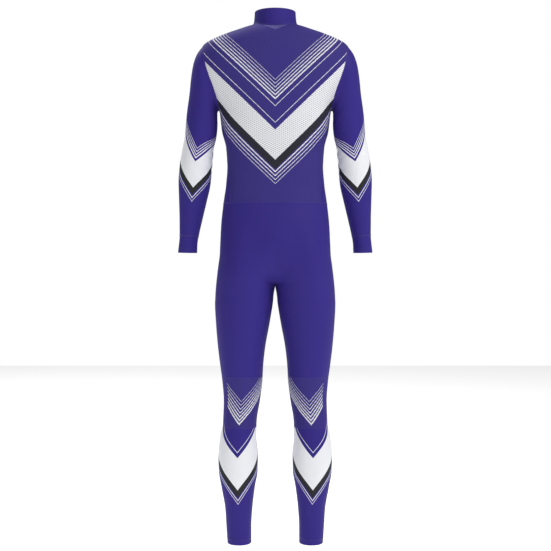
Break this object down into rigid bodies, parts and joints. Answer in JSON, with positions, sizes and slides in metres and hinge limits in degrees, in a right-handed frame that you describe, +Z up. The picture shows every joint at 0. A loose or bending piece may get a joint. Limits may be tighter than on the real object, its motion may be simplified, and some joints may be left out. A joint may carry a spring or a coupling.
{
  "type": "racing suit",
  "caption": "One-piece close-fitting race suit in stretch cloth with a mesh back, stand collar, front zip, long sleeves with cuffs and mesh behind the knees, hollow as when worn.",
  "frame": {"origin": "in the middle of the neck, level with the inner ends of the shoulder seams, where the wearer's neck and shoulders carry the suit", "axes": "+Z up the wearer's body, +X towards the wearer's right hand, +Y the way the wearer faces"},
  "size_m": [0.548, 0.2219, 1.481],
  "materials": {
    "stretch_cloth": "smooth warp-knit stretch cloth, faint sheen, purple with printed bands",
    "mesh_cloth": "fine eyelet mesh knit, matt, purple with printed bands",
    "zip_tape": "narrow woven tape",
    "dark_metal": "dark lacquered zip metal"
  },
  "bodies": {
    "suit": {"back_panel": "mesh_cloth", "collar": "stretch_cloth", "front_left": "stretch_cloth", "front_right": "stretch_cloth", "sleeve_left": "stretch_cloth", "sleeve_right": "stretch_cloth", "cuff_left": "stretch_cloth", "cuff_right": "stretch_cloth", "leg_left": "stretch_cloth", "leg_right": "stretch_cloth", "knee_mesh_left": "mesh_cloth", "knee_mesh_right": "mesh_cloth", "zip_chain": "zip_tape", "zip_slider": "dark_metal"},
    "pull_tab": {"zip_pull_tab": "dark_metal"}
  },
  "joints": [
    {"name": "tab_swing", "type": "hinge", "parent": "suit", "child": "pull_tab", "pos_m": [0, 0.06502, -0.00467], "axis": [1, 0, 0], "range_deg": [0, 160]}
  ]
}
